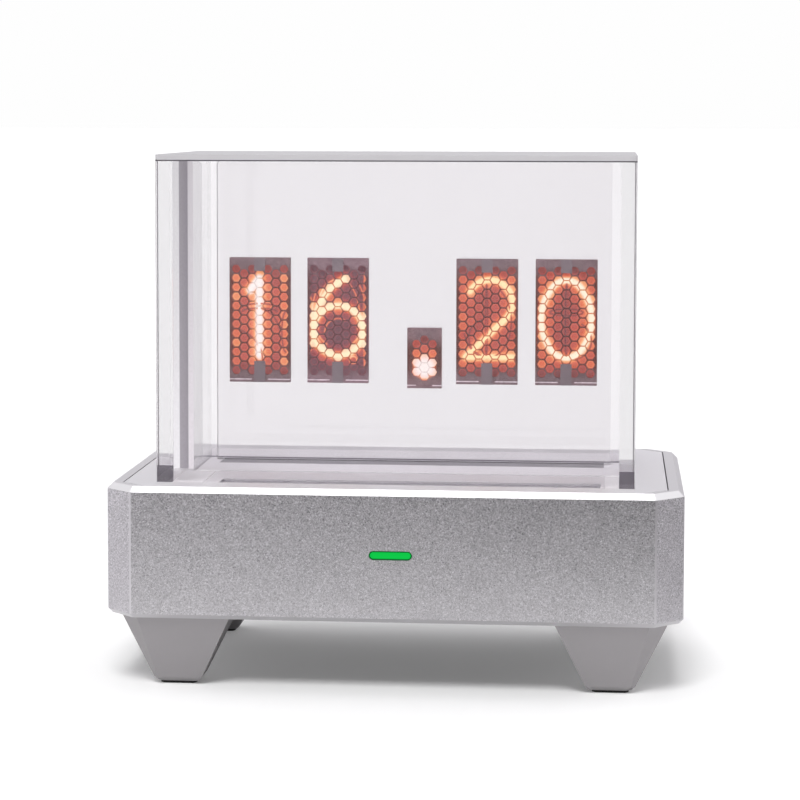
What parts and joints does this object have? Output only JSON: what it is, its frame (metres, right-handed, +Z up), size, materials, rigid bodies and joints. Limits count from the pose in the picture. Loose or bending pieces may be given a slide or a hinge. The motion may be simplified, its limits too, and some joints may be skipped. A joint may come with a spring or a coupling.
{
  "type": "holographic desk clock",
  "caption": "Desk clock with a low metal base on tapered feet and a tall clear hood, in which a clear plate carries glowing honeycomb digit cells.",
  "frame": {"origin": "on the surface the clock stands on, under the middle of its base", "axes": "+X to the right seen from the front, -Y towards the viewer, +Z up"},
  "size_m": [0.13, 0.0788, 0.12],
  "materials": {
    "base_metal": "bead blasted, satin",
    "deck_metal": "fine blasted, satin",
    "lamp_window": "smoked, gloss",
    "rubber": "matte",
    "dark_plastic": "matte",
    "clear_acrylic": "clear, polished",
    "cell_backing": "smoked, gloss",
    "cell_grid": "satin",
    "cell_tabs": "satin",
    "numeral_glow": "lit, orange white",
    "status_green": "lit, translucent green",
    "led_body": "gloss",
    "socket_metal": "satin",
    "button_plastic": "satin",
    "circuit_board": "satin, solder mask",
    "cell_metal": "satin",
    "screw_steel": "satin",
    "foot_metal": "cast, matte"
  },
  "bodies": {
    "clock": {"base_shell": "base_metal", "board_screws": "screw_steel", "bottom_cover": "dark_plastic", "button_switches": "dark_plastic", "cell_holder": "dark_plastic", "coin_cell": "cell_metal", "control_chip": "dark_plastic", "cover_screws": "screw_steel", "deck_insert": "deck_metal", "digit_backing_1": "cell_backing", "digit_backing_2": "cell_backing", "digit_backing_3": "cell_backing", "digit_backing_4": "cell_backing", "digit_grid_1": "cell_grid", "digit_grid_2": "cell_grid", "digit_grid_3": "cell_grid", "digit_grid_4": "cell_grid", "digit_tabs": "cell_tabs", "digit_wire_1": "numeral_glow", "digit_wire_2": "numeral_glow", "digit_wire_3": "numeral_glow", "digit_wire_4": "numeral_glow", "display_plate": "clear_acrylic", "display_seat": "dark_plastic", "dot_backing": "cell_backing", "dot_grid": "cell_grid", "dot_mark": "numeral_glow", "foot_front_left": "foot_metal", "foot_front_right": "foot_metal", "foot_pad_front_left": "rubber", "foot_pad_front_right": "rubber", "foot_pad_rear_left": "rubber", "foot_pad_rear_right": "rubber", "foot_rear_left": "foot_metal", "foot_rear_right": "foot_metal", "foot_screws": "screw_steel", "hood_back_pane": "clear_acrylic", "hood_front_pane": "clear_acrylic", "hood_front_sill": "clear_acrylic", "hood_gaskets": "rubber", "hood_left_pane": "clear_acrylic", "hood_right_pane": "clear_acrylic", "hood_top_pane": "clear_acrylic", "hood_tray": "dark_plastic", "lamp_board": "circuit_board", "lamp_board_screws": "screw_steel", "lamp_driver": "dark_plastic", "lamp_header": "dark_plastic", "lamp_leds": "led_body", "lamp_window": "lamp_window", "main_board": "circuit_board", "power_inlet": "socket_metal", "status_led": "led_body", "status_lens": "status_green", "top_plate": "deck_metal", "tray_screws": "screw_steel"},
    "setting_button_1": {"setting_button_1": "button_plastic"},
    "setting_button_2": {"setting_button_2": "button_plastic"},
    "setting_button_3": {"setting_button_3": "button_plastic"}
  },
  "joints": [
    {"name": "setting_button_1_press", "type": "slide", "parent": "clock", "child": "setting_button_1", "axis": [0, -1, 0], "range_m": [0, 0.0005], "stiffness_N_per_m": 400, "springref_m": -0.0005},
    {"name": "setting_button_2_press", "type": "slide", "parent": "clock", "child": "setting_button_2", "axis": [0, -1, 0], "range_m": [0, 0.0005], "stiffness_N_per_m": 400, "springref_m": -0.0005},
    {"name": "setting_button_3_press", "type": "slide", "parent": "clock", "child": "setting_button_3", "axis": [0, -1, 0], "range_m": [0, 0.0005], "stiffness_N_per_m": 400, "springref_m": -0.0005}
  ]
}
